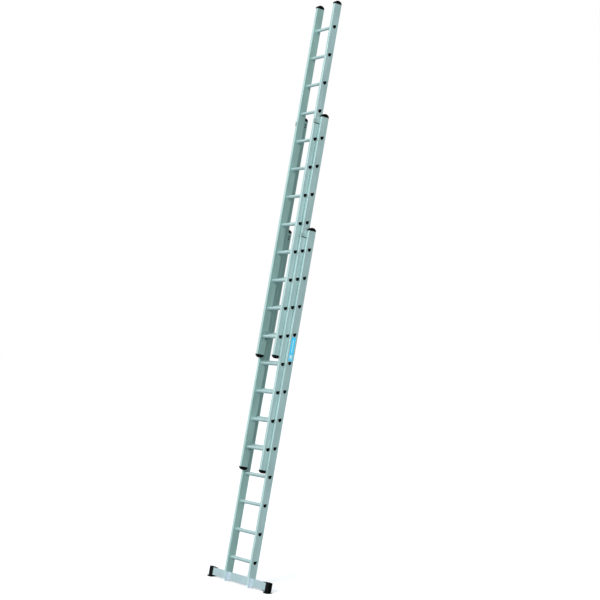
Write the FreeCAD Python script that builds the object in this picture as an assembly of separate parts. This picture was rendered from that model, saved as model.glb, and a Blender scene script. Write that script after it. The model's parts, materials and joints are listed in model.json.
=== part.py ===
"""Three-section aluminium extension ladder, modelled in its leaning working position.

Each section is drawn upright: X runs across the ladder, Y runs through its depth
(the climber is on the -Y side, the wall on the +Y side) and Z runs along the stiles.
The whole ladder is then leaned towards the wall and lowered until its soles stand at Z = 0.
"""
import FreeCAD
import Part
import math
import os

Vector = FreeCAD.Vector

# Driving dimensions, in millimetres and degrees
LEAN = 78.7                  # angle between the stiles and the floor
SOLE_ALONG_STILE = 21.0      # where the floor crosses the base section's middle plane

RUNG_PITCH = 280.0
RUNG_COUNT = 12
STILE_LENGTH = 3490.0        # the same in all three sections
FIRST_RUNG = 265.0           # base section's lowest rung, above where the feet stand
BELOW_FIRST_RUNG = 223.0     # in the base section; HOOK_DROP less in each section further up
RAISED_RUNGS = 4             # how far each section is drawn out of the one below
HOOK_DROP = 20.0             # a hooked section's rung hangs this far below the rung behind it

STILE_DEPTH = 78.0
STILE_WIDTH = 32.0
STILE_WALL = 1.8
STILE_CORNER = 3.0
BASE_OUTER = 259.0           # half of the base section's overall width
SECTION_STEP_IN = 37.0       # how much narrower each next section is, per side
SECTION_STEP_FORWARD = 55.0  # how far each next section lies towards the climber

RUNG_DEPTH = 30.0
RUNG_HEIGHT = 34.0
RUNG_WALL = 1.8
TREAD_FALL = 8.0             # the tread is level when the ladder leans
TREAD_GROOVES = 5
GROOVE_WIDTH = 1.6
GROOVE_DEPTH = 0.7
COLLAR_PROUD = 1.2
COLLAR_THICK = 1.5
HOLE_CLEARANCE = 0.2
PLUG_FLANGE = 1.2
PLUG_OVERLAP = 2.4
PLUG_CORE = 12.0

CAP_RISE = 32.0
CAP_RIM = 4.0
CAP_SIDE_OVERHANG = 2.0
CAP_FRONT_OVERHANG = 5.0
CAP_CORE = 25.0

GUIDE_THICK = 2.5
GUIDE_FROM_TOP = 68.0
GUIDE_HEIGHT = 36.0
GUIDE_RIVET_HEAD = 7.0
GUIDE_LIP = 24.0
RIVET_RADIUS = 2.5
RIVET_HEAD_RADIUS = 5.5

HOOK_THICK = 3.0
HOOK_HALF_HEIGHT = 36.0
LATCH_PIN_RADIUS = 3.0
LATCH_THICK = 5.0

BAR_HALF_LENGTH = 624.0
BAR_BOTTOM = 38.0
BAR_TOP = 115.0
BAR_FRONT = -8.0
BAR_DEPTH = 25.0
BAR_WALL = 2.5
FOOT_INNER_EDGE = 560.0
FOOT_OUTER_EDGE = 630.0
FOOT_TONGUE = 60.0
FOOT_FLARE_ACROSS = 10.0     # how far the sole spreads past the sleeve
FOOT_FLARE_DEEP = 12.0
BRACKET_THICK = 3.0
BRACKET_LEG = 45.0
BRACKET_BOTTOM = 28.0

LABEL_LENGTH = 230.0
LABEL_WIDTH = 46.0
LABEL_THICK = 0.4
LABEL_ABOVE_RUNG = 7         # the label lies between this rung and the next one

# Worked-out places
SECTION_NAMES = ("base", "middle", "top")
BASE_BOTTOM = FIRST_RUNG - BELOW_FIRST_RUNG
BAR_BACK = BAR_FRONT + BAR_DEPTH


def section_outer(index):
    return BASE_OUTER - index * SECTION_STEP_IN


def section_depth(index):
    return -index * SECTION_STEP_FORWARD


def section_bottom(index):
    return BASE_BOTTOM + index * RAISED_RUNGS * RUNG_PITCH


def section_top(index):
    return section_bottom(index) + STILE_LENGTH


def rung_heights(index):
    first = section_bottom(index) + BELOW_FIRST_RUNG - index * HOOK_DROP
    return [first + k * RUNG_PITCH for k in range(RUNG_COUNT)]


def block(x0, x1, y0, y1, z0, z1):
    return Part.makeBox(x1 - x0, y1 - y0, z1 - z0, Vector(x0, y0, z0))


def rod(radius, x0, x1, y, z):
    """A round bar across the ladder."""
    return Part.makeCylinder(radius, x1 - x0, Vector(x0, y, z), Vector(1, 0, 0))


def depth_rod(radius, x, y0, y1, z):
    """A round bar through the ladder's depth."""
    return Part.makeCylinder(radius, y1 - y0, Vector(x, y0, z), Vector(0, 1, 0))


def moved(shape, x=0.0, y=0.0, z=0.0):
    copy = shape.copy()
    copy.translate(Vector(x, y, z))
    return copy


def mirrored(shape):
    return shape.mirror(Vector(0, 0, 0), Vector(1, 0, 0))


def round_edges(shape, direction, radius):
    """Round the straight edges that run along one axis."""
    chosen = []
    for edge in shape.Edges:
        if len(edge.Vertexes) == 2:
            line = edge.Vertexes[1].Point - edge.Vertexes[0].Point
            if abs(abs(line.dot(direction)) - line.Length) < 1e-6:
                chosen.append(edge)
    return shape.makeFillet(radius, chosen)


def plate_across(points, x0, x1):
    """A flat plate cut to an outline in the depth/height plane."""
    corners = [Vector(x0, y, z) for y, z in points]
    face = Part.Face(Part.makePolygon(corners + corners[:1]))
    return face.extrude(Vector(x1 - x0, 0, 0))


# Rungs

def rung_face(grow):
    """The rung's D-shaped outline in the YZ plane, offset outwards by grow."""
    half = RUNG_DEPTH / 2
    top = RUNG_HEIGHT / 2
    front_top = Vector(0, -half, top - TREAD_FALL)
    back_top = Vector(0, half, top)
    back_side = Vector(0, half, 5)
    tip = Vector(0, 0, -top)
    front_side = Vector(0, -half, 1)
    edges = [
        Part.makeLine(front_top, back_top),
        Part.makeLine(back_top, back_side),
        Part.Arc(back_side, Vector(0, 10.5, -8.5), tip).toShape(),
        Part.Arc(tip, Vector(0, -10.5, -10.0), front_side).toShape(),
        Part.makeLine(front_side, front_top),
    ]
    face = Part.Face(Part.Wire(edges))
    if grow:
        face = face.makeOffset2D(grow, join=2)
    return face


def rung_prism(grow, x0, x1):
    prism = rung_face(grow).extrude(Vector(x1 - x0, 0, 0))
    prism.translate(Vector(x0, 0, 0))
    return prism


def tread_grooves(half_width):
    """Shallow anti-slip grooves along the tread."""
    cutters = []
    slope = TREAD_FALL / RUNG_DEPTH
    spacing = RUNG_DEPTH / (TREAD_GROOVES + 1)
    for k in range(1, TREAD_GROOVES + 1):
        y = -RUNG_DEPTH / 2 + k * spacing
        tread = RUNG_HEIGHT / 2 - TREAD_FALL / 2 + y * slope
        cutters.append(block(-half_width, half_width, y - GROOVE_WIDTH / 2, y + GROOVE_WIDTH / 2,
                             tread - GROOVE_DEPTH, tread + GROOVE_DEPTH))
    return Part.makeCompound(cutters)


def one_rung(index):
    outer = section_outer(index)
    inner = outer - STILE_WIDTH
    rung = rung_prism(0, -outer, outer)
    for x0, x1 in ((inner - COLLAR_THICK, inner), (-inner, -inner + COLLAR_THICK)):
        rung = rung.fuse(rung_prism(COLLAR_PROUD, x0, x1))
    rung = rung.cut(rung_prism(-RUNG_WALL, -outer - 1, outer + 1))
    return rung.cut(tread_grooves(inner - COLLAR_THICK - 1))


def one_plug(index):
    outer = section_outer(index)
    flange = rung_prism(PLUG_OVERLAP, outer, outer + PLUG_FLANGE)
    core = rung_prism(-RUNG_WALL - 0.1, outer - PLUG_CORE, outer)
    return flange.fuse(core)


def group_at_rungs(shape, index):
    depth = section_depth(index)
    return Part.makeCompound([moved(shape, 0, depth, z) for z in rung_heights(index)])


def rungs(index):
    return group_at_rungs(one_rung(index), index)


def rung_plugs(index):
    plug = one_plug(index)
    right = group_at_rungs(plug, index)
    left = group_at_rungs(mirrored(plug), index)
    return Part.makeCompound(right.Solids + left.Solids)


# Stiles and their caps

def stile_bar(outer, depth, z0, z1, inset):
    """A rounded rectangular bar in the stile's place, inset by a wall's thickness."""
    bar = block(outer - STILE_WIDTH + inset, outer - inset,
                depth - STILE_DEPTH / 2 + inset, depth + STILE_DEPTH / 2 - inset, z0, z1)
    return round_edges(bar, Vector(0, 0, 1), max(STILE_CORNER - inset, 0.8))


def guide_rivet_places(index):
    """Depth and height of the two rivets that hold a guide bracket."""
    depth = section_depth(index)
    middle = section_top(index) - GUIDE_FROM_TOP + GUIDE_HEIGHT / 2
    return [(depth + 15, middle - 12), (depth + 15, middle + 12)]


def hook_rivet_places(index):
    depth = section_depth(index)
    rung = rung_heights(index)[0]
    return [(depth, rung - 29), (depth, rung + 29)]


def foot_rivet_places():
    return [(-26, 55), (-26, 96)]


def stile(index):
    outer = section_outer(index)
    depth = section_depth(index)
    inner = outer - STILE_WIDTH
    bottom = section_bottom(index)
    top = section_top(index)
    body = stile_bar(outer, depth, bottom, top, 0)
    body = body.cut(stile_bar(outer, depth, bottom - 1, top + 1, STILE_WALL))
    hole = rung_prism(HOLE_CLEARANCE, inner - 1, outer + 1)
    cutters = [moved(hole, 0, depth, z) for z in rung_heights(index)]
    wall_hole = (inner - 1, inner + STILE_WALL + 1)
    if index < 2:
        cutters += [rod(RIVET_RADIUS, *wall_hole, y, z) for y, z in guide_rivet_places(index)]
    if index > 0:
        cutters += [rod(RIVET_RADIUS, *wall_hole, y, z) for y, z in hook_rivet_places(index)]
    if index == 0:
        cutters += [rod(RIVET_RADIUS, inner - 1, outer + 1, y, z) for y, z in foot_rivet_places()]
        cutters.append(block(inner - 1, outer + 1, BAR_FRONT - 0.3, BAR_BACK + 0.3,
                             bottom - 1, BAR_TOP + 0.3))
    return body.cut(Part.makeCompound(cutters))


def end_cap(index, upwards):
    """A domed plastic plug: a crescent outside the stile and a core inside it."""
    outer = section_outer(index)
    depth = section_depth(index)
    front = depth - STILE_DEPTH / 2 - CAP_FRONT_OVERHANG
    back = depth + STILE_DEPTH / 2
    half_chord = (back - front) / 2
    arc_rise = CAP_RISE - CAP_RIM
    radius = (half_chord ** 2 + arc_rise ** 2) / (2 * arc_rise)
    x0 = outer - STILE_WIDTH - CAP_SIDE_OVERHANG
    x1 = outer + CAP_SIDE_OVERHANG
    dome = round_edges(block(x0, x1, front, back, 0, CAP_RISE + 1), Vector(0, 0, 1), 5)
    arc = rod(radius, x0 - 1, x1 + 1, (front + back) / 2, CAP_RISE - radius)
    dome = dome.common(arc.fuse(block(x0 - 1, x1 + 1, front - 1, back + 1, -1, CAP_RIM)))
    core = stile_bar(outer, depth, -CAP_CORE, 0, STILE_WALL + 0.1)
    cap = dome.fuse(core)
    if upwards:
        return moved(cap, 0, 0, section_top(index))
    flipped = cap.mirror(Vector(0, 0, 0), Vector(0, 0, 1))
    return moved(flipped, 0, 0, section_bottom(index))


# Guide brackets, riveted to the top of the base and middle sections

def guide(index):
    """A bracket that keeps the next section's stile in place: a side plate and a front lip."""
    depth = section_depth(index)
    inner = section_outer(index) - STILE_WIDTH
    z0 = section_top(index) - GUIDE_FROM_TOP
    z1 = z0 + GUIDE_HEIGHT
    next_front = section_depth(index + 1) - STILE_DEPTH / 2
    lip_back = next_front - 1.5
    lip_front = lip_back - GUIDE_THICK
    side = block(inner - GUIDE_THICK, inner, lip_front, depth + 25, z0, z1)
    side = round_edges(side, Vector(1, 0, 0), 8)
    square_front = block(inner - GUIDE_THICK, inner, lip_front, lip_front + 20, z0, z1)
    lip = block(inner - GUIDE_THICK - GUIDE_LIP, inner, lip_front, lip_back, z0, z1)
    lip = lip.common(rounded_lip(inner - GUIDE_THICK - GUIDE_LIP, inner + 20, lip_front, lip_back, z0, z1))
    bracket = side.fuse(square_front).fuse(lip)
    holes = [rod(RIVET_RADIUS, inner - 10, inner + 1, y, z) for y, z in guide_rivet_places(index)]
    return bracket.cut(Part.makeCompound(holes)).removeSplitter()


def rounded_lip(x0, x1, y0, y1, z0, z1):
    return round_edges(block(x0, x1, y0, y1, z0, z1), Vector(0, 1, 0), 8)


def blind_rivet(face_x, y, z, head_side, plate_thick, head_height=1.6, head_radius=RIVET_HEAD_RADIUS):
    """A blind rivet: a low head on the plate, a shank, and the bulge behind the stile's wall."""
    away = 1 if head_side > 0 else -1
    wall_back = face_x - away * STILE_WALL
    head_base = face_x + away * plate_thick

    def barrel(radius, a, b):
        return rod(radius, min(a, b), max(a, b), y, z)

    head = barrel(head_radius, head_base, head_base + away * head_height)
    shank = barrel(RIVET_RADIUS, head_base, wall_back)
    bulge = barrel(RIVET_RADIUS + 1.2, wall_back, wall_back - away * 3.0)
    return head.fuse(shank).fuse(bulge)


def guide_rivets(index):
    inner = section_outer(index) - STILE_WIDTH
    right = [blind_rivet(inner, y, z, -1, GUIDE_THICK, 2.5, GUIDE_RIVET_HEAD)
             for y, z in guide_rivet_places(index)]
    return Part.makeCompound(right + [mirrored(shape) for shape in right])


# Rung hooks and their latches, at the foot of the middle and top sections

def hook(index):
    """A plate on the stile's inner face that reaches back over a rung of the section below."""
    own = section_depth(index)
    below = section_depth(index - 1)
    inner = section_outer(index) - STILE_WIDTH
    rung = rung_heights(index)[0]
    low = -HOOK_HALF_HEIGHT
    slope = TREAD_FALL / RUNG_DEPTH
    reach = RUNG_DEPTH / 2 + 1.5
    seat = HOOK_DROP + RUNG_HEIGHT / 2 - TREAD_FALL / 2 + 1.4
    crest = seat + 16
    outline = [
        (own - 22, low),
        (own - 22, crest - 14),
        (own - 12, crest - 4),
        (own + 4, crest),
        (below + 12, crest),
        (below + reach + 8, crest - 12),
        (below + reach + 8, HOOK_DROP - 4),
        (below + reach + 5, HOOK_DROP - 7),
        (below + reach, HOOK_DROP - 2),
        (below + reach, seat + reach * slope),
        (below - reach, seat - reach * slope),
        (below - reach, low + 8),
        (below - reach - 8, low),
    ]
    plate = plate_across([(y, rung + z) for y, z in outline], inner - HOOK_THICK, inner)
    own_rung = moved(rung_prism(COLLAR_PROUD + 0.4, inner - HOOK_THICK - 1, inner + 1), 0, own, rung)
    cutters = [own_rung]
    cutters += [rod(RIVET_RADIUS, inner - 10, inner + 1, y, z) for y, z in hook_rivet_places(index)]
    pin_y, pin_z = latch_pivot(index)
    cutters.append(rod(LATCH_PIN_RADIUS + 0.05, inner - 10, inner + 1, pin_y, pin_z))
    return plate.cut(Part.makeCompound(cutters))


def hook_rivets(index):
    inner = section_outer(index) - STILE_WIDTH
    right = [blind_rivet(inner, y, z, -1, HOOK_THICK) for y, z in hook_rivet_places(index)]
    return Part.makeCompound(right + [mirrored(shape) for shape in right])


def latch_pivot(index):
    return section_depth(index - 1) - 26, rung_heights(index)[0] + HOOK_DROP - 28


def latch(index):
    """A pawl that swings under the rung below, so that the hook can't lift off."""
    y, z = latch_pivot(index)
    x1 = section_outer(index) - STILE_WIDTH - HOOK_THICK - 0.5
    x0 = x1 - LATCH_THICK
    radius = 6.0
    reach = 36.0
    arm = block(x0, x1, y, y + reach, z - radius, z + radius - 1)
    tip = rod(radius - 0.5, x0, x1, y + reach, z - 0.5)
    boss = rod(radius, x0, x1, y, z)
    tab = block(x0, x1, y - 2, y + 4, z - 18, z)
    tab = tab.fuse(rod(3, x0, x1, y + 1, z - 18))
    pawl = boss.fuse(arm).fuse(tip).fuse(tab)
    return pawl.cut(rod(LATCH_PIN_RADIUS + 0.05, x0 - 1, x1 + 1, y, z)).removeSplitter()


def latch_pins(index):
    y, z = latch_pivot(index)
    plate = section_outer(index) - STILE_WIDTH
    neck = plate - HOOK_THICK - 0.5 - LATCH_THICK - 3.5
    pin = rod(LATCH_PIN_RADIUS, neck, plate, y, z).fuse(rod(5.0, neck - 1.5, neck, y, z))
    return Part.makeCompound([pin, mirrored(pin)])


def latch_springs(index):
    """A small coiled spring on each pin, between the pawl and the pin's head, with one straight leg."""
    y, z = latch_pivot(index)
    start = section_outer(index) - STILE_WIDTH - HOOK_THICK - 0.5 - LATCH_THICK - 2.8
    coil = LATCH_PIN_RADIUS + 0.7
    wire = 0.5
    spring = Part.makeTorus(coil, wire, Vector(start, y, z), Vector(1, 0, 0))
    for turn in (1, 2):
        spring = spring.fuse(Part.makeTorus(coil, wire, Vector(start + turn * 0.9, y, z), Vector(1, 0, 0)))
    leg = Part.makeCylinder(wire * 0.8, 14, Vector(start + 0.9, y - 1, z + coil), Vector(0, 1, 0))
    spring = spring.fuse(leg)
    return Part.makeCompound([spring, mirrored(spring)])


# Stabiliser bar, its feet and its brackets

def stabiliser_bar():
    outer = block(-BAR_HALF_LENGTH, BAR_HALF_LENGTH, BAR_FRONT, BAR_BACK, BAR_BOTTOM, BAR_TOP)
    outer = round_edges(outer, Vector(1, 0, 0), 3)
    inner = block(-BAR_HALF_LENGTH - 1, BAR_HALF_LENGTH + 1, BAR_FRONT + BAR_WALL, BAR_BACK - BAR_WALL,
                  BAR_BOTTOM + BAR_WALL, BAR_TOP - BAR_WALL)
    holes = [depth_rod(4.2, x, BAR_FRONT - 1, BAR_BACK + 1, z) for x, z in foot_bolt_places()]
    return outer.cut(inner).cut(Part.makeCompound(holes))


def stabiliser_foot():
    """The right-hand rubber foot: a sleeve over the bar's end with a flared sole."""
    front = BAR_FRONT - 5
    back = BAR_BACK + 5
    top = BAR_TOP + 9
    sleeve = block(FOOT_INNER_EDGE, FOOT_OUTER_EDGE, front, back, 36, top)
    sleeve = round_edges(sleeve, Vector(1, 0, 0), 5)
    waist = block(FOOT_INNER_EDGE + 2, FOOT_OUTER_EDGE - 2, front + 2, back - 2, 26, 45)
    flare = block(FOOT_INNER_EDGE - FOOT_FLARE_ACROSS, FOOT_OUTER_EDGE + FOOT_FLARE_ACROSS,
                  front - FOOT_FLARE_DEEP, back + FOOT_FLARE_DEEP, 3, 32)
    flare = round_edges(flare, Vector(0, 0, 1), 14)
    top_tongue = block(FOOT_INNER_EDGE - FOOT_TONGUE, FOOT_INNER_EDGE + 5, BAR_FRONT, BAR_BACK,
                       BAR_TOP, BAR_TOP + 5)
    low_tongue = block(FOOT_INNER_EDGE - FOOT_TONGUE, FOOT_INNER_EDGE + 5, BAR_FRONT, BAR_BACK,
                       BAR_BOTTOM - 5, BAR_BOTTOM)
    foot = sleeve.fuse(waist).fuse(flare).fuse(top_tongue).fuse(low_tongue)
    bar_end = block(FOOT_INNER_EDGE - FOOT_TONGUE - 1, BAR_HALF_LENGTH, BAR_FRONT, BAR_BACK,
                    BAR_BOTTOM, BAR_TOP)
    return foot.cut(bar_end).removeSplitter()


def foot_bolt_places():
    outer_x = BASE_OUTER + 24
    inner_x = BASE_OUTER - STILE_WIDTH - 24
    middle = (BAR_BOTTOM + BAR_TOP) / 2
    return [(side * x, middle) for x in (inner_x, outer_x) for side in (-1, 1)]


def foot_brackets():
    """Two angle cleats that tie the right-hand stile's end to the bar."""
    inner = BASE_OUTER - STILE_WIDTH
    cleats = []
    for face, away in ((BASE_OUTER, 1), (inner, -1)):
        near = sorted((face, face + away * BRACKET_THICK))
        far = sorted((face, face + away * BRACKET_LEG))
        side_leg = block(near[0], near[1], -STILE_DEPTH / 2 + 2, BAR_FRONT, BRACKET_BOTTOM, BAR_TOP)
        front_leg = block(far[0], far[1], BAR_FRONT - BRACKET_THICK, BAR_FRONT, BRACKET_BOTTOM, BAR_TOP)
        front_leg = round_edges(front_leg, Vector(0, 1, 0), 5)
        root = block(near[0], near[1], BAR_FRONT - BRACKET_THICK, BAR_FRONT, BRACKET_BOTTOM, BAR_TOP)
        cleat = side_leg.fuse(front_leg).fuse(root)
        holes = [depth_rod(4.2, x, -60, 60, z) for x, z in foot_bolt_places()]
        holes += [rod(RIVET_RADIUS, near[0] - 1, near[1] + 1, y, z) for y, z in foot_rivet_places()]
        cleats.append(cleat.cut(Part.makeCompound(holes)).removeSplitter())
    return Part.makeCompound(cleats)


def foot_bolts():
    bolts = []
    for x, z in foot_bolt_places():
        head = depth_rod(8, x, BAR_FRONT - BRACKET_THICK - 3, BAR_FRONT - BRACKET_THICK, z)
        shank = depth_rod(4, x, BAR_FRONT - BRACKET_THICK, BAR_BACK + 11, z)
        bolts.append(head.fuse(shank))
    return Part.makeCompound(bolts)


def hexagon_nut(x, y0, y1, z, across_flats, bore):
    radius = across_flats / math.sqrt(3)
    corners = [Vector(x + radius * math.cos(math.radians(60 * k)), y0,
                      z + radius * math.sin(math.radians(60 * k))) for k in range(7)]
    nut = Part.Face(Part.makePolygon(corners)).extrude(Vector(0, y1 - y0, 0))
    return nut.cut(depth_rod(bore, x, y0 - 1, y1 + 1, z))


def foot_nuts():
    return Part.makeCompound([hexagon_nut(x, BAR_BACK, BAR_BACK + 7, z, 13, 4.05)
                              for x, z in foot_bolt_places()])


def foot_rivets():
    inner = BASE_OUTER - STILE_WIDTH
    right = []
    for y, z in foot_rivet_places():
        right.append(blind_rivet(BASE_OUTER, y, z, 1, BRACKET_THICK))
        right.append(blind_rivet(inner, y, z, -1, BRACKET_THICK, 1.4))
    return Part.makeCompound(right + [mirrored(shape) for shape in right])


def foot_inserts():
    """Plastic plugs that close the stile's two open ends in front of and behind the bar."""
    half = STILE_DEPTH / 2
    inner = BASE_OUTER - STILE_WIDTH
    plugs = []
    for y0, y1, low in ((-half, BAR_FRONT - 3.5, BRACKET_BOTTOM), (BAR_BACK + 1, half, 36.0)):
        pad = block(inner, BASE_OUTER, y0, y1, low, BASE_BOTTOM)
        wall = STILE_WALL + 0.6
        core_y0 = y0 + wall if y0 < 0 else y0
        core_y1 = y1 - wall if y1 > 0 else y1
        core = block(inner + wall, BASE_OUTER - wall, core_y0, core_y1, BASE_BOTTOM, BASE_BOTTOM + 9)
        plugs.append(pad.fuse(core))
    return Part.makeCompound(plugs + [mirrored(shape) for shape in plugs])


def label():
    low, high = rung_heights(0)[LABEL_ABOVE_RUNG:LABEL_ABOVE_RUNG + 2]
    middle = (low + high) / 2
    return block(BASE_OUTER, BASE_OUTER + LABEL_THICK, -LABEL_WIDTH / 2, LABEL_WIDTH / 2,
                 middle - LABEL_LENGTH / 2, middle + LABEL_LENGTH / 2)


# The assembly

def lean(shape):
    """Lean the upright ladder towards the wall and stand it on the floor."""
    placed = shape.copy()
    placed.rotate(Vector(0, 0, 0), Vector(1, 0, 0), -(90.0 - LEAN))
    placed.translate(Vector(0, 0, -SOLE_ALONG_STILE * math.sin(math.radians(LEAN))))
    return placed


def above_floor(shape):
    return shape.cut(block(-2000, 2000, -2000, 2000, -500, 0))


def add_pair(nodes, name, right):
    nodes[name + "_right"] = lean(right)
    nodes[name + "_left"] = lean(mirrored(right))


def build():
    nodes = {}
    for index, section in enumerate(SECTION_NAMES):
        add_pair(nodes, section + "_stile", stile(index))
        nodes[section + "_rungs"] = lean(rungs(index))
        nodes[section + "_rung_plugs"] = lean(rung_plugs(index))
        add_pair(nodes, section + "_top_cap", end_cap(index, True))
        if index < 2:
            add_pair(nodes, section + "_guide", guide(index))
            nodes[section + "_guide_rivets"] = lean(guide_rivets(index))
        if index > 0:
            add_pair(nodes, section + "_bottom_cap", end_cap(index, False))
            add_pair(nodes, section + "_hook", hook(index))
            nodes[section + "_hook_rivets"] = lean(hook_rivets(index))
            add_pair(nodes, section + "_latch", latch(index))
            nodes[section + "_latch_pins"] = lean(latch_pins(index))
            nodes[section + "_latch_springs"] = lean(latch_springs(index))
    nodes["stabiliser_bar"] = lean(stabiliser_bar())
    foot = stabiliser_foot()
    nodes["stabiliser_foot_right"] = above_floor(lean(foot))
    nodes["stabiliser_foot_left"] = above_floor(lean(mirrored(foot)))
    add_pair(nodes, "foot_brackets", foot_brackets())
    nodes["foot_bolts"] = lean(foot_bolts())
    nodes["foot_nuts"] = lean(foot_nuts())
    nodes["foot_rivets"] = lean(foot_rivets())
    nodes["foot_inserts"] = lean(foot_inserts())
    nodes["label"] = lean(label())
    return nodes


os.makedirs("parts", exist_ok=True)
for name, shape in build().items():
    shape.exportStep("parts/" + name + ".step")
    box = shape.BoundBox
    print(name, len(shape.Solids), shape.isValid(), round(shape.Volume),
          [round(v, 1) for v in (box.XMin, box.YMin, box.ZMin, box.XMax, box.YMax, box.ZMax)])
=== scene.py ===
# %% [markdown]
# # A three-section aluminium ladder, finished for a picture
# The imported frame already holds every stile, rung, bracket and cap at its real size.
# This lesson gives each of them the surface that the real one has, and adds the small
# repeated details that a maker would see: ribbed treads and crowned plugs. It also sets
# black strips under the guides as painted shadow.

# %% Load the frame and keep its box
import json
import math
import bpy
import bmesh
from mathutils import Matrix, Vector


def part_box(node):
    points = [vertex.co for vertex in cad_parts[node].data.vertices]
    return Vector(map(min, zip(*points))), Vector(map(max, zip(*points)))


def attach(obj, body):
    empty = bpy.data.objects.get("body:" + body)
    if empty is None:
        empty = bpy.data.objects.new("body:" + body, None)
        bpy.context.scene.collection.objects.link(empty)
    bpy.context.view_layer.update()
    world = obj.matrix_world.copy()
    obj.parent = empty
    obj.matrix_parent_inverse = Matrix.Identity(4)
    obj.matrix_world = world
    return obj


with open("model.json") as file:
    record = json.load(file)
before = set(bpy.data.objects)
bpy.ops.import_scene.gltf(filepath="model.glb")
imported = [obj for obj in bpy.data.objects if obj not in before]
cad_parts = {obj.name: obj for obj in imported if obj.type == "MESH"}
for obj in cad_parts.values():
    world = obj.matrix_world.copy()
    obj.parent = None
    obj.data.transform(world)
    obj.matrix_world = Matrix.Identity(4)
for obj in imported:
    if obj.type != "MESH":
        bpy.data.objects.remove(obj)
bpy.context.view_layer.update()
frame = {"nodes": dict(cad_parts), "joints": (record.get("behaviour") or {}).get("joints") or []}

# %% [markdown]
# ## Directions
# The ladder leans, so its own directions are not the world's. The slide joint already
# points along the stiles; the cross product with X gives the way through its depth.

# %% The ladder's own directions and its main sizes, in metres
JOINTS = {joint["name"]: joint for joint in frame["joints"]}
ALONG = Vector(JOINTS["middle_slide"]["axis"]).normalized()
ACROSS = Vector((1, 0, 0))
TO_WALL = ALONG.cross(ACROSS).normalized()
LEAN_BACK = math.atan2(ALONG.y, ALONG.z)
MM = 0.001
RUNG_PITCH = 280 * MM
RUNG_COUNT = 12
RUNG_DEPTH = 30 * MM
TREAD_FALL = 8 * MM
STILE_WIDTH = 32 * MM
SECTIONS = ("base", "middle", "top")
print("lean back, degrees:", round(math.degrees(LEAN_BACK), 2))

# %% [markdown]
# ## Shapes drawn as outlines
# The rung's section is a rounded D: a flat tread, two short sides and a keel. The plugs
# follow the same outline, so it is worked out once, as points across the ladder's depth
# and height, with round stretches as arcs.

# %% The rung's outline
def arc_through(a, b, c, steps):
    """Points on the circle through three points, from a to c."""
    ax, ay, bx, by, cx, cy = *a, *b, *c
    d = 2 * (ax * (by - cy) + bx * (cy - ay) + cx * (ay - by))
    a_square = ax * ax + ay * ay
    b_square = bx * bx + by * by
    c_square = cx * cx + cy * cy
    ux = (a_square * (by - cy) + b_square * (cy - ay) + c_square * (ay - by)) / d
    uy = (a_square * (cx - bx) + b_square * (ax - cx) + c_square * (bx - ax)) / d
    radius = math.hypot(ax - ux, ay - uy)
    start = math.atan2(ay - uy, ax - ux)
    end = math.atan2(cy - uy, cx - ux)
    while end > start:
        end -= 2 * math.pi
    return [(ux + radius * math.cos(start + (end - start) * k / steps),
             uy + radius * math.sin(start + (end - start) * k / steps)) for k in range(steps + 1)]


HALF_DEPTH = RUNG_DEPTH / 2
HALF_HEIGHT = 17 * MM
ARC_STEPS = 8
KEEL = (0, -HALF_HEIGHT)
BACK_SIDE_END = (HALF_DEPTH, 5 * MM)
BACK_FLANK = (10.5 * MM, -8.5 * MM)
FRONT_FLANK = (-10.5 * MM, -10 * MM)
FRONT_SIDE_END = (-HALF_DEPTH, 1 * MM)
OUTLINE = [(-HALF_DEPTH, HALF_HEIGHT - TREAD_FALL), (HALF_DEPTH, HALF_HEIGHT)]
OUTLINE += arc_through(BACK_SIDE_END, BACK_FLANK, KEEL, ARC_STEPS)
OUTLINE += arc_through(KEEL, FRONT_FLANK, FRONT_SIDE_END, ARC_STEPS)[1:]
print("outline points:", len(OUTLINE))

# %% [markdown]
# ## Where each section is
# The rungs of a section make one part of the frame. The middle of its box, less the middle
# of the outline's own box, is the middle of the row, so the first rung's centre follows.

# %% First rung, width and body of each section
def mean(a, b):
    return (a + b) / 2


def outline_middle():
    """The middle of one rung's box, measured from the rung's centre."""
    points = [TO_WALL * y + ALONG * z for y, z in OUTLINE]
    return Vector((0, mean(min(p.y for p in points), max(p.y for p in points)),
                   mean(min(p.z for p in points), max(p.z for p in points))))


def section_facts(section):
    """The first rung's centre, the outer half width, and the body of one section."""
    low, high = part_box(section + "_rungs")
    run = ALONG * RUNG_PITCH * (RUNG_COUNT - 1)
    centre = (low + high) / 2 - outline_middle()
    first = Vector((0, centre.y, centre.z)) - run / 2
    return {"first": first, "outer": high.x, "body": section + "_section"}


FACTS = {section: section_facts(section) for section in SECTIONS}
for section, facts in FACTS.items():
    print(section, "first rung", [round(v, 4) for v in facts["first"]], "outer", round(facts["outer"], 4))

# %% [markdown]
# ## Camera
# The ladder is nearly six metres tall and very slim, so it is seen from seventeen metres
# off with a long lens. The camera stands to the climber's right, at half the ladder's
# height. It dips a little, and the lens is shifted up to bring the whole ladder in.

# %% The camera
CAMERA_PLACE = Vector((15.123, -7.818, 2.788))
CAMERA_HEADING = 60.618      # degrees, turned from straight at the ladder
CAMERA_DIP = -3.519          # degrees, below level
LENS = 105.28
LENS_SHIFT_UP = 0.1776       # in picture widths

camera_data = bpy.data.cameras.new("camera")
camera_data.lens = LENS
camera_data.sensor_width = 36
camera_data.shift_y = LENS_SHIFT_UP
camera_data.clip_end = 200
camera = bpy.data.objects.new("camera", camera_data)
camera.location = CAMERA_PLACE
camera.rotation_euler = (math.radians(90 + CAMERA_DIP), 0, math.radians(CAMERA_HEADING))
bpy.context.scene.collection.objects.link(camera)
bpy.context.scene.camera = camera
print("camera", [round(v, 2) for v in camera.location], "lens", LENS)

# %% [markdown]
# ## Colour and node helpers
# Paint charts give colours as sRGB hex. Shaders work in linear light, so one function
# turns the one into the other. A second helper adds a node, sets it and links it.

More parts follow.
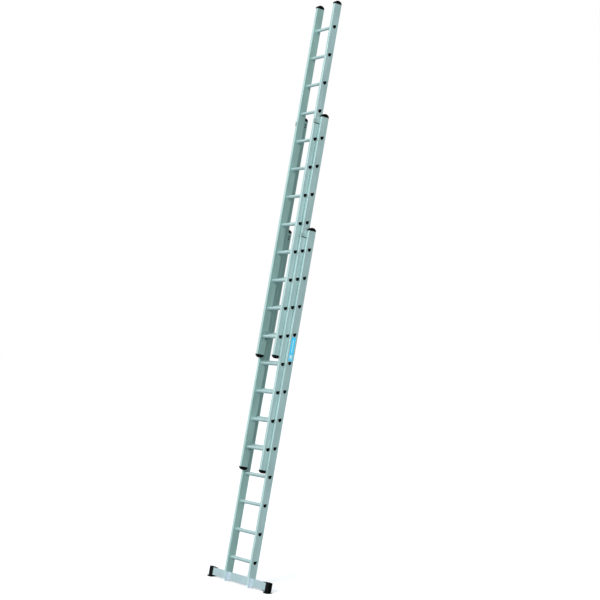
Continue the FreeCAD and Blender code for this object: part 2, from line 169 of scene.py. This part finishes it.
# %% Helpers for colours and nodes
def linear(hex_colour):
    """sRGB hex to a linear RGBA colour."""
    channels = [int(hex_colour[i:i + 2], 16) / 255 for i in (1, 3, 5)]
    return tuple(c / 12.92 if c <= 0.04045 else ((c + 0.055) / 1.055) ** 2.4 for c in channels) + (1.0,)


def add(tree, kind, inputs=None, **settings):
    """Adds one node. Each input is a constant, or another node's output to link."""
    made = tree.nodes.new(kind)
    for name, value in settings.items():
        setattr(made, name, value)
    for name, value in (inputs or {}).items():
        if isinstance(value, bpy.types.NodeSocket):
            tree.links.new(value, made.inputs[name])
        else:
            made.inputs[name].default_value = value
    return made


def new_material(name):
    """An empty material with its output node, ready for a surface."""
    material = bpy.data.materials.new(name)
    material.use_nodes = True
    material.node_tree.nodes.clear()
    return material, material.node_tree


def finish_material(tree, shader):
    output = add(tree, "ShaderNodeOutputMaterial")
    tree.links.new(shader.outputs[0], output.inputs["Surface"])


def ladder_space(tree, scale):
    """Object coordinates turned upright along the stiles and scaled, in cycles per metre."""
    place = add(tree, "ShaderNodeTexCoord")
    upright = add(tree, "ShaderNodeMapping", {"Vector": place.outputs["Object"],
                                              "Rotation": (LEAN_BACK, 0, 0)})
    return add(tree, "ShaderNodeMapping", {"Vector": upright.outputs[0], "Scale": scale}).outputs[0]


def colour_between(tree, factor, low, high, dark, light):
    """Spreads a 0 to 1 factor between two colours."""
    ramp = add(tree, "ShaderNodeValToRGB", {"Fac": factor})
    ramp.color_ramp.elements[0].position = low
    ramp.color_ramp.elements[1].position = high
    ramp.color_ramp.elements[0].color = linear(dark)
    ramp.color_ramp.elements[1].color = linear(light)
    return ramp.outputs["Color"]


def spread(tree, factor, low, high):
    """Maps a 0 to 1 factor onto a range of plain numbers."""
    return add(tree, "ShaderNodeMapRange", {"Value": factor, "To Min": low, "To Max": high}).outputs[0]

# %% [markdown]
# ## Extruded aluminium
# The stiles and the bar are extruded: the metal is pushed through a die, which leaves very
# fine straight lines along the length. Later the bare metal greys over in soft patches.
# Real die lines are about 0.2 mm apart; they are drawn a few millimetres apart so that they
# still show. A metal keeps the default IOR; its colour is its reflection. The stiles' inner
# faces look at each other and see little of the studio, so a painted shade makes them darker.

# %% Extruded and drawn aluminium
METAL_SHARE = 0.5            # satin metal also scatters light, so part of it shades as matt
LINE_RUN_MM = 900            # how far a die line runs before it fades
PATCHES_PER_METRE = (14, 14, 4)
# where the painted shade on the stiles' inner faces starts, and where it is full
PAINTED_INNER_SHADE_STARTS = -0.03    # place across times facing, in metres
PAINTED_INNER_SHADE_FULL = -0.12


def painted_inner_shade_share(tree):
    """1 on faces that look at the ladder's middle line, 0 on all others: the mask of the painted shade.
    """
    coordinates = add(tree, "ShaderNodeTexCoord")
    geometry = add(tree, "ShaderNodeNewGeometry")
    place = add(tree, "ShaderNodeSeparateXYZ", {"Vector": coordinates.outputs["Object"]})
    facing = add(tree, "ShaderNodeSeparateXYZ", {"Vector": geometry.outputs["Normal"]})
    outward = add(tree, "ShaderNodeMath", {0: place.outputs["X"], 1: facing.outputs["X"]},
                  operation="MULTIPLY")
    return add(tree, "ShaderNodeMapRange", {"Value": outward.outputs[0], "From Min": PAINTED_INNER_SHADE_STARTS,
                                            "From Max": PAINTED_INNER_SHADE_FULL}).outputs[0]


def aluminium(name, dark, light, line_gap_mm, along, roughness, line_depth_mm=0.04, inner_painted_shade=None):
    """Satin aluminium with die lines. `along` is the axis, 0 or 2, that the lines follow."""
    material, tree = new_material(name)
    fine = 1000 / line_gap_mm
    scale = [fine, fine, fine]
    scale[along] = 1000 / LINE_RUN_MM
    lines = add(tree, "ShaderNodeTexNoise", {"Vector": ladder_space(tree, scale), "Scale": 1.0,
                                             "Detail": 2.0, "Roughness": 0.6})
    patches = add(tree, "ShaderNodeTexNoise", {"Vector": ladder_space(tree, PATCHES_PER_METRE),
                                               "Scale": 1.0, "Detail": 4.0, "Roughness": 0.55})
    mixed = add(tree, "ShaderNodeMath", {0: lines.outputs["Fac"], 1: patches.outputs["Fac"]},
                operation="MULTIPLY")
    base = colour_between(tree, mixed.outputs[0], 0.12, 0.40, dark, light)
    # painted shade: the inner faces' colour is multiplied down for the light they miss
    if inner_painted_shade:
        base = add(tree, "ShaderNodeMix", {0: painted_inner_shade_share(tree), 6: base, 7: linear(inner_painted_shade)},
                   data_type="RGBA", blend_type="MULTIPLY").outputs[2]
    dull = spread(tree, patches.outputs["Fac"], roughness - 0.07, roughness + 0.07)
    relief = add(tree, "ShaderNodeBump", {"Height": lines.outputs["Fac"], "Strength": 0.5,
                                          "Distance": line_depth_mm * MM})
    shader = add(tree, "ShaderNodeBsdfPrincipled", {"Base Color": base, "Metallic": METAL_SHARE,
                                                    "Roughness": dull, "Normal": relief.outputs[0]})
    finish_material(tree, shader)
    return material


# the stiles' inner faces carry a painted shade, with #DFEBE5 multiplied in
STILE_METAL = aluminium("satin_extruded_aluminium", "#A2BEBD", "#BAD3D3", 1.6, 2, 0.45,
                        inner_painted_shade="#DFEBE5")
RUNG_METAL = aluminium("drawn_rung_aluminium", "#A4BFBF", "#C3D9DA", 1.2, 0, 0.38)
BAR_METAL = aluminium("stabiliser_bar_aluminium", "#A0B8BC", "#B6CACF", 1.8, 0, 0.42)
GUIDE_METAL = aluminium("pressed_guide_aluminium", "#93AFAD", "#ABC5C4", 2.2, 2, 0.45, 0.02)
CLEAT_METAL = aluminium("pressed_cleat_aluminium", "#B4C3CC", "#CDD9E1", 2.2, 2, 0.45, 0.02)
print("aluminium finishes made")

# %% [markdown]
# ## Coated and plated steel
# Hooks are punched from steel and galvanised, so they are pale, dull and a little mottled.
# Latches and the guides' rivets are coated dark, and shine only where the coat thins. Nuts,
# pins and springs are zinc plated. The other rivets and the bolt heads are pale aluminium.

# %% Steel finishes
def coated_steel(name, dark, light, grain_mm, metallic, roughness):
    """A mottled coat: fine grain, with clouds four times as large."""
    material, tree = new_material(name)
    per_metre = 1000 / grain_mm
    grain = add(tree, "ShaderNodeTexNoise", {"Vector": ladder_space(tree, (per_metre,) * 3),
                                             "Scale": 1.0, "Detail": 5.0, "Roughness": 0.6})
    clouds = add(tree, "ShaderNodeTexVoronoi", {"Vector": ladder_space(tree, (per_metre / 4,) * 3),
                                                "Scale": 1.0}, feature="F1")
    mixed = add(tree, "ShaderNodeMath", {0: grain.outputs["Fac"], 1: clouds.outputs["Distance"]},
                operation="MULTIPLY")
    base = colour_between(tree, mixed.outputs[0], 0.1, 0.5, dark, light)
    dull = spread(tree, grain.outputs["Fac"], roughness - 0.1, roughness + 0.1)
    relief = add(tree, "ShaderNodeBump", {"Height": grain.outputs["Fac"], "Strength": 0.4,
                                          "Distance": 0.05 * MM})
    shader = add(tree, "ShaderNodeBsdfPrincipled", {"Base Color": base, "Metallic": metallic,
                                                    "Roughness": dull, "Normal": relief.outputs[0]})
    finish_material(tree, shader)
    return material


HOOK_STEEL = coated_steel("galvanised_hook_steel", "#7E9D9A", "#9DBAB7", 3.0, 0.6, 0.45)
LATCH_STEEL = coated_steel("dark_coated_latch_steel", "#36413F", "#4D5957", 3.0, 0.3, 0.5)
RIVET_STEEL = coated_steel("dark_plated_rivet_steel", "#0C1010", "#1C2121", 1.0, 0.4, 0.45)
PALE_RIVET = coated_steel("pale_aluminium_rivet", "#AFC0C8", "#CBD8DF", 1.0, 0.6, 0.45)
ZINC_STEEL = coated_steel("zinc_plated_steel", "#A9ACA6", "#CFD1CC", 1.5, 0.95, 0.35)
print("steel finishes made")

# %% [markdown]
# ## Moulded plastic and rubber
# The caps and plugs are moulded black polypropylene: an even, slightly waxy black with the
# fine grain of the mould. The feet are rubber: as black, but duller and coarser.

# %% Plastic and rubber
DUST_PER_METRE = (60, 60, 60)


def moulded(name, dark, light, grain_mm, roughness, relief_mm):
    """Moulded plastic or rubber: fine grain as relief, and soft patches of dust as colour."""
    material, tree = new_material(name)
    per_metre = 1000 / grain_mm
    grain = add(tree, "ShaderNodeTexNoise", {"Vector": ladder_space(tree, (per_metre,) * 3),
                                             "Scale": 1.0, "Detail": 3.0, "Roughness": 0.7})
    dust = add(tree, "ShaderNodeTexNoise", {"Vector": ladder_space(tree, DUST_PER_METRE),
                                            "Scale": 1.0, "Detail": 4.0, "Roughness": 0.6})
    base = colour_between(tree, dust.outputs["Fac"], 0.35, 0.75, dark, light)
    dull = spread(tree, dust.outputs["Fac"], roughness - 0.08, roughness + 0.1)
    relief = add(tree, "ShaderNodeBump", {"Height": grain.outputs["Fac"], "Strength": 0.6,
                                          "Distance": relief_mm * MM})
    shader = add(tree, "ShaderNodeBsdfPrincipled", {"Base Color": base, "Roughness": dull,
                                                    "IOR": 1.49, "Specular IOR Level": 0.08,
                                                    "Normal": relief.outputs[0]})
    finish_material(tree, shader)
    return material


BLACK_PLASTIC = moulded("moulded_black_polypropylene", "#010101", "#040505", 0.8, 0.5, 0.05)
PALE_PLASTIC = moulded("moulded_pale_polyamide", "#C4CFD6", "#DCE4EA", 0.8, 0.5, 0.05)
FOOT_RUBBER = moulded("moulded_black_rubber", "#010101", "#040505", 1.2, 0.7, 0.1)
print("plastic and rubber made")

# %% [markdown]
# ## Printed film
# The information label is a blue film under clear lacquer, faintly crinkled where it was
# pressed on by hand. What is printed on it is left as plain white bars.

# %% Label films
CRINKLES_PER_METRE = (70, 70, 25)


def film(name, dark, light, roughness):
    """A printed film under lacquer, with a faint crinkle."""
    material, tree = new_material(name)
    crinkle = add(tree, "ShaderNodeTexNoise", {"Vector": ladder_space(tree, CRINKLES_PER_METRE),
                                               "Scale": 1.0, "Detail": 2.0})
    base = colour_between(tree, crinkle.outputs["Fac"], 0.3, 0.7, dark, light)
    relief = add(tree, "ShaderNodeBump", {"Height": crinkle.outputs["Fac"], "Strength": 0.2,
                                          "Distance": 0.3 * MM})
    shader = add(tree, "ShaderNodeBsdfPrincipled", {"Base Color": base, "Roughness": roughness,
                                                    "IOR": 1.5, "Normal": relief.outputs[0]})
    finish_material(tree, shader)
    return material


LABEL_BLUE = film("printed_blue_film", "#35C3F2", "#45D0FA", 0.35)
LABEL_WHITE = film("printed_white_film", "#BFDDE6", "#CFE8EF", 0.35)
print("films made")

# %% [markdown]
# ## Dressing the frame
# Every part from the frame keeps its mesh. Only its material slot changes, chosen by the
# word in the part's name that tells what it is made of.

# %% Give each part its finish
FINISHES = (
    ("rung_plugs", BLACK_PLASTIC), ("_cap_", BLACK_PLASTIC), ("stabiliser_foot", FOOT_RUBBER),
    ("foot_inserts", PALE_PLASTIC), ("foot_rivets", PALE_RIVET), ("hook_rivets", PALE_RIVET),
    ("guide_rivets", RIVET_STEEL), ("foot_bolts", PALE_RIVET),
    ("foot_nuts", ZINC_STEEL), ("latch_pins", ZINC_STEEL), ("latch_springs", ZINC_STEEL),
    ("hook", HOOK_STEEL), ("latch", LATCH_STEEL), ("guide", GUIDE_METAL),
    ("foot_brackets", CLEAT_METAL), ("label", LABEL_BLUE), ("rungs", RUNG_METAL),
    ("stabiliser_bar", BAR_METAL), ("stile", STILE_METAL),
)


def finish_for(node_name):
    for word, material in FINISHES:
        if word in node_name:
            return material
    raise ValueError(node_name)


for node_name, part in frame["nodes"].items():
    part.data.materials.clear()
    part.data.materials.append(finish_for(node_name))
print("parts dressed:", len(frame["nodes"]))

# %% [markdown]
# ## A row of copies with Geometry Nodes
# Ladders are made of repeats, so one node tree does most of the work: a line of points, a
# small shape set on each, made real and given its material.

# %% The row tree
def row_tree(name):
    """Geometry Nodes: copies of a shape along a straight line."""
    tree = bpy.data.node_groups.new(name, "GeometryNodeTree")
    socket = tree.interface.new_socket
    socket("Geometry", in_out="INPUT", socket_type="NodeSocketGeometry")
    socket("Shape", in_out="INPUT", socket_type="NodeSocketObject")
    socket("Count", in_out="INPUT", socket_type="NodeSocketInt")
    socket("Start", in_out="INPUT", socket_type="NodeSocketVector")
    socket("Step", in_out="INPUT", socket_type="NodeSocketVector")
    socket("Finish", in_out="INPUT", socket_type="NodeSocketMaterial")
    socket("Geometry", in_out="OUTPUT", socket_type="NodeSocketGeometry")
    start = add(tree, "NodeGroupInput").outputs
    line = add(tree, "GeometryNodeMeshLine", {"Count": start["Count"], "Start Location": start["Start"],
                                              "Offset": start["Step"]}, mode="OFFSET")
    shape = add(tree, "GeometryNodeObjectInfo", {"Object": start["Shape"]}, transform_space="ORIGINAL")
    copies = add(tree, "GeometryNodeInstanceOnPoints", {"Points": line.outputs["Mesh"],
                                                        "Instance": shape.outputs["Geometry"]})
    real = add(tree, "GeometryNodeRealizeInstances", {"Geometry": copies.outputs["Instances"]})
    dressed = add(tree, "GeometryNodeSetMaterial", {"Geometry": real.outputs["Geometry"],
                                                    "Material": start["Finish"]})
    end = add(tree, "NodeGroupOutput")
    tree.links.new(dressed.outputs["Geometry"], end.inputs["Geometry"])
    return tree


ROW_TREE = row_tree("row_of_copies")


def new_object(name, mesh):
    made = bpy.data.objects.new(name, mesh)
    bpy.context.scene.collection.objects.link(made)
    return made


def set_input(modifier, label, value):
    """A modifier's input is known by its socket's identifier, not by its label."""
    for item in modifier.node_group.interface.items_tree:
        if item.item_type == "SOCKET" and item.in_out == "INPUT" and item.name == label:
            modifier[item.identifier] = value


def row_mesh(name, shape_mesh, count, start, step, finish):
    """Runs the row tree once and returns its result as a plain mesh."""
    shape = new_object(name + "_shape", shape_mesh)
    carrier = new_object(name + "_carrier", bpy.data.meshes.new(name + "_carrier"))
    modifier = carrier.modifiers.new("row", "NODES")
    modifier.node_group = ROW_TREE
    for label, value in (("Shape", shape), ("Count", count), ("Start", start[:]), ("Step", step[:]),
                         ("Finish", finish)):
        set_input(modifier, label, value)
    bpy.context.view_layer.update()
    graph = bpy.context.evaluated_depsgraph_get()
    mesh = bpy.data.meshes.new_from_object(carrier.evaluated_get(graph))
    bpy.data.objects.remove(carrier)
    bpy.data.objects.remove(shape)
    return mesh


def join_meshes(name, meshes, finish):
    """Several plain meshes as one object with one material."""
    whole = bmesh.new()
    for mesh in meshes:
        whole.from_mesh(mesh)
        bpy.data.meshes.remove(mesh)
    joined = bpy.data.meshes.new(name)
    whole.to_mesh(joined)
    whole.free()
    joined.materials.clear()
    joined.materials.append(finish)
    return new_object(name, joined)


def settle(piece, body):
    """Ties a finished piece to its body and prints how many faces it has."""
    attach(piece, body)
    print(piece.name, len(piece.data.polygons), "faces on", body)


print("row tree made")

# %% [markdown]
# ## Skins over outlines
# Small solids are lofted: the same outline is set out at a few places and skinned.

# %% Rings and lofts
def outline_ring(x, scale):
    """The outline as 3D points at one place across the ladder."""
    return [ACROSS * x + TO_WALL * (y * scale) + ALONG * (z * scale) for y, z in OUTLINE]


def loft(name, rings):
    """Skins a list of rings with equal point counts and closes its ends. Faces point outwards."""
    shape = bmesh.new()
    rows = [[shape.verts.new(p) for p in ring] for ring in rings]
    count = len(rows[0])
    for lower, upper in zip(rows, rows[1:]):
        for k in range(count):
            shape.faces.new((lower[k], lower[(k + 1) % count], upper[(k + 1) % count], upper[k]))
    shape.faces.new(rows[0][::-1])
    shape.faces.new(rows[-1])
    bmesh.ops.recalc_face_normals(shape, faces=shape.faces)
    mesh = bpy.data.meshes.new(name)
    shape.to_mesh(mesh)
    shape.free()
    return mesh


print("lofts ready")

# %% [markdown]
# ## Crowned plugs
# Each rung's open end is closed by a plastic plug. From the side they read as small black
# rounded triangles, point down. The frame has their flat flange; here each gets the low
# crown that a moulded plug has, so that it catches a soft highlight.

# %% Plug crowns
PLUG_FLANGE = 1.2 * MM
CROWN_RISE = 0.7 * MM
CROWN_OVERLAP = 0.05 * MM
CROWN_LEVELS = ((0.0, 1.12), (0.35, 1.06), (0.75, 0.88), (1.0, 0.6))    # share of the rise, outline scale


def plug_crown(side, outer):
    """A low crown on the flange's face, on the right (+1) or left (-1) side."""
    face = outer + PLUG_FLANGE - CROWN_OVERLAP
    rings = [outline_ring(side * (face + CROWN_RISE * rise), scale) for rise, scale in CROWN_LEVELS]
    return loft("plug_crown", rings)


for section, facts in FACTS.items():
    crowns = [row_mesh(f"{section}_crowns", plug_crown(side, facts["outer"]), RUNG_COUNT,
                       facts["first"], ALONG * RUNG_PITCH, BLACK_PLASTIC) for side in (-1, 1)]
    settle(join_meshes(section + "_plug_crowns", crowns, BLACK_PLASTIC), facts["body"])

# %% [markdown]
# ## Ribbed treads
# A smooth tread would be slippery, so the tread is drawn with fine ribs along it. They are
# small, but they catch the light as a row of thin lines.

# %% Tread ribs
RIB_COUNT = 6
RIB_WIDTH = 1.4 * MM
RIB_HEIGHT = 0.5 * MM
RIB_END_GAP = 6 * MM


def tread_rib(half_length, offset):
    """One rib with sloping flanks, lying on the tread."""
    slope = TREAD_FALL / RUNG_DEPTH
    tread = HALF_HEIGHT - TREAD_FALL / 2 + offset * slope
    profile = ((-0.5, -0.2), (0.5, -0.2), (0.3, 1.0), (-0.3, 1.0))
    rings = []
    for x in (-half_length, half_length):
        rings.append([ACROSS * x + TO_WALL * (offset + a * RIB_WIDTH) + ALONG * (tread + b * RIB_HEIGHT)
                      for a, b in profile])
    return loft("tread_rib", rings)


for section, facts in FACTS.items():
    ribs = []
    half_length = facts["outer"] - STILE_WIDTH - RIB_END_GAP
    for k in range(RIB_COUNT):
        offset = (k - (RIB_COUNT - 1) / 2) * RUNG_DEPTH / RIB_COUNT
        ribs.append(row_mesh(f"{section}_rib", tread_rib(half_length, offset), RUNG_COUNT, facts["first"],
                             ALONG * RUNG_PITCH, RUNG_METAL))
    settle(join_meshes(section + "_tread_ribs", ribs, RUNG_METAL), facts["body"])

# %% [markdown]
# ## Painted shadow strips under the guides
# Under a guide's lower edge, the narrow gap to the stile behind it falls into shade. A strip of
# black plastic is set there as a painted shadow. It stands in the gap between the two stiles,
# clear of the rung plugs that pass.

# %% Painted shadow strips under the guides
# sizes of the black strips that paint the shadow under each guide
SHADOW_STRIP_DROP = 6 * MM
SHADOW_STRIP_OUT = 0.2 * MM          # both measured in from the stile's inner face
SHADOW_STRIP_IN = 2.3 * MM
SHADOW_STRIP_FRONT = -96 * MM        # both measured through the depth from the rungs' line
SHADOW_STRIP_BACK = -42 * MM
LAST_RUNG = RUNG_PITCH * (RUNG_COUNT - 1)
GUIDE_FOOT = {"base": LAST_RUNG + 119 * MM, "middle": LAST_RUNG + 139 * MM}    # above the first rung


def shadow_strip_mesh(side, inner):
    """A flat black strip under the guide, a painted shadow, on the right (+1) or left (-1) side."""
    profile = ((SHADOW_STRIP_OUT, 0), (SHADOW_STRIP_IN, 0), (SHADOW_STRIP_IN, SHADOW_STRIP_DROP), (SHADOW_STRIP_OUT, SHADOW_STRIP_DROP))
    rings = []
    for depth in (SHADOW_STRIP_FRONT, SHADOW_STRIP_BACK):
        rings.append([ACROSS * (side * (inner - a)) + TO_WALL * depth - ALONG * b
                      for a, b in profile])
    return loft("guide_trim", rings)


# black strips that paint the shadow under each guide's lower edge
for section, height in GUIDE_FOOT.items():
    facts = FACTS[section]
    foot = facts["first"] + ALONG * height
    shadow_strips = [row_mesh(f"{section}_trim", shadow_strip_mesh(side, facts["outer"] - STILE_WIDTH), 1, foot, ALONG,
                      BLACK_PLASTIC) for side in (-1, 1)]
    settle(join_meshes(section + "_guide_trims", shadow_strips, BLACK_PLASTIC), facts["body"])

# %% [markdown]
# ## The label's print
# Plain bars stand where the real label is printed: a broken line down the middle and one
# pale block near the lower end. They are films a tenth of a millimetre thick.

# %% Label print
PRINT_THICK = 0.1 * MM
PRINT_ROWS = (               # bar length and width, how many, the first one's place, step; in mm
    ("dashes", 12, 9, 8, -30, 16),
    ("block", 30, 26, 1, -72, 0),
    ("lines", 2.5, 34, 3, -100, 5),
)


def label_bar(name, length, width):
    """A thin bar on the label's face, centred on its own place."""
    low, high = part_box("label")
    rings = []
    for x in (high.x, high.x + PRINT_THICK):
        rings.append([ACROSS * x + TO_WALL * (a * width / 2) + ALONG * (b * length / 2)
                      for a, b in ((-1, -1), (1, -1), (1, 1), (-1, 1))])
    return loft(name, rings)


def label_place(along_mm):
    """A place on the label's middle line, measured up from its middle."""
    low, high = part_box("label")
    middle = Vector((0, mean(low.y, high.y), mean(low.z, high.z)))
    return ALONG * (along_mm * MM) + middle


prints = [row_mesh("label_" + name, label_bar(name, length * MM, width * MM), count,
                   label_place(place), ALONG * (step * MM), LABEL_WHITE)
          for name, length, width, count, place, step in PRINT_ROWS]
settle(join_meshes("label_print", prints, LABEL_WHITE), "base_section")

# %% [markdown]
# ## Floor and light
# A plain white studio: a soft light in front, a little to the climber's right, and a weaker
# one above. The room is brighter towards the front, so the aluminium shows its form by what
# it reflects. The floor looks pale but throws little light back, as a floor that fades off
# does; otherwise the lower rungs and the bar would be lit from below.

# %% Studio
FLOOR_HALF = 60.0
FLOOR_GLOW = 0.5
ROOM_FRONT = (-0.3, -0.95, 0.1)
ROOM_DIMMEST = 0.46
ROOM_BRIGHTEST = 1.12


def seen_and_lit(tree, lighting, seen):
    """One shader for the light it throws on the ladder, another for how it looks."""
    rays = add(tree, "ShaderNodeLightPath")
    return add(tree, "ShaderNodeMixShader", {0: rays.outputs["Is Camera Ray"],
                                             1: lighting.outputs[0], 2: seen.outputs[0]})


def studio_floor():
    """A wide pale floor under the feet, staged so that it is no part of the ladder."""
    mesh = bpy.data.meshes.new("studio_floor")
    corners = [(-FLOOR_HALF, -FLOOR_HALF, 0), (FLOOR_HALF, -FLOOR_HALF, 0),
               (FLOOR_HALF, FLOOR_HALF, 0), (-FLOOR_HALF, FLOOR_HALF, 0)]
    mesh.from_pydata(corners, [], [(0, 1, 2, 3)])
    floor = new_object("studio_floor", mesh)
    material, tree = new_material("studio_white")
    dim = add(tree, "ShaderNodeBsdfDiffuse", {"Color": linear("#8A9496")})
    seen = add(tree, "ShaderNodeBsdfPrincipled", {"Base Color": linear("#B2B4B6"), "Roughness": 0.9,
                                                  "Specular IOR Level": 0.1,
                                                  "Emission Color": linear("#FCFDFF"),
                                                  "Emission Strength": FLOOR_GLOW})
    finish_material(tree, seen_and_lit(tree, dim, seen))
    mesh.materials.append(material)


def far_softbox(name, azimuth, elevation, spread_angle, strength):
    """A softbox so far off that its light is even. Azimuth 0 is the climber's side, 90 the right."""
    data = bpy.data.lights.new(name, "SUN")
    data.energy = strength
    data.angle = math.radians(spread_angle)
    lamp = bpy.data.objects.new(name, data)
    turn = math.radians(azimuth)
    rise = math.radians(elevation)
    towards = Vector((math.sin(turn) * math.cos(rise), -math.cos(turn) * math.cos(rise), math.sin(rise)))
    lamp.rotation_euler = towards.to_track_quat("Z", "Y").to_euler()
    bpy.context.scene.collection.objects.link(lamp)


def studio_room():
    """The light from all around: brighter towards the front, and plain white to look at."""
    world = bpy.data.worlds.new("studio")
    bpy.context.scene.world = world
    world.use_nodes = True
    tree = world.node_tree
    tree.nodes.clear()
    around = add(tree, "ShaderNodeTexCoord")
    toward_front = add(tree, "ShaderNodeVectorMath", {0: around.outputs["Generated"], 1: ROOM_FRONT},
                       operation="DOT_PRODUCT")
    glow = add(tree, "ShaderNodeMapRange", {"Value": toward_front.outputs["Value"],
                                            "From Min": -1.0, "From Max": 1.0,
                                            "To Min": ROOM_DIMMEST, "To Max": ROOM_BRIGHTEST})
    room = add(tree, "ShaderNodeBackground", {"Color": linear("#F2F7F8"), "Strength": glow.outputs[0]})
    white = add(tree, "ShaderNodeBackground", {"Color": (1, 1, 1, 1), "Strength": 1.0})
    shader = seen_and_lit(tree, room, white)
    add(tree, "ShaderNodeOutputWorld", {"Surface": shader.outputs[0]})


studio_floor()
far_softbox("front_softbox", azimuth=36, elevation=30, spread_angle=20, strength=2.7)
far_softbox("overhead_softbox", azimuth=-40, elevation=70, spread_angle=40, strength=0.5)
studio_room()
bpy.context.scene.view_settings.view_transform = "Standard"
print("studio lit")
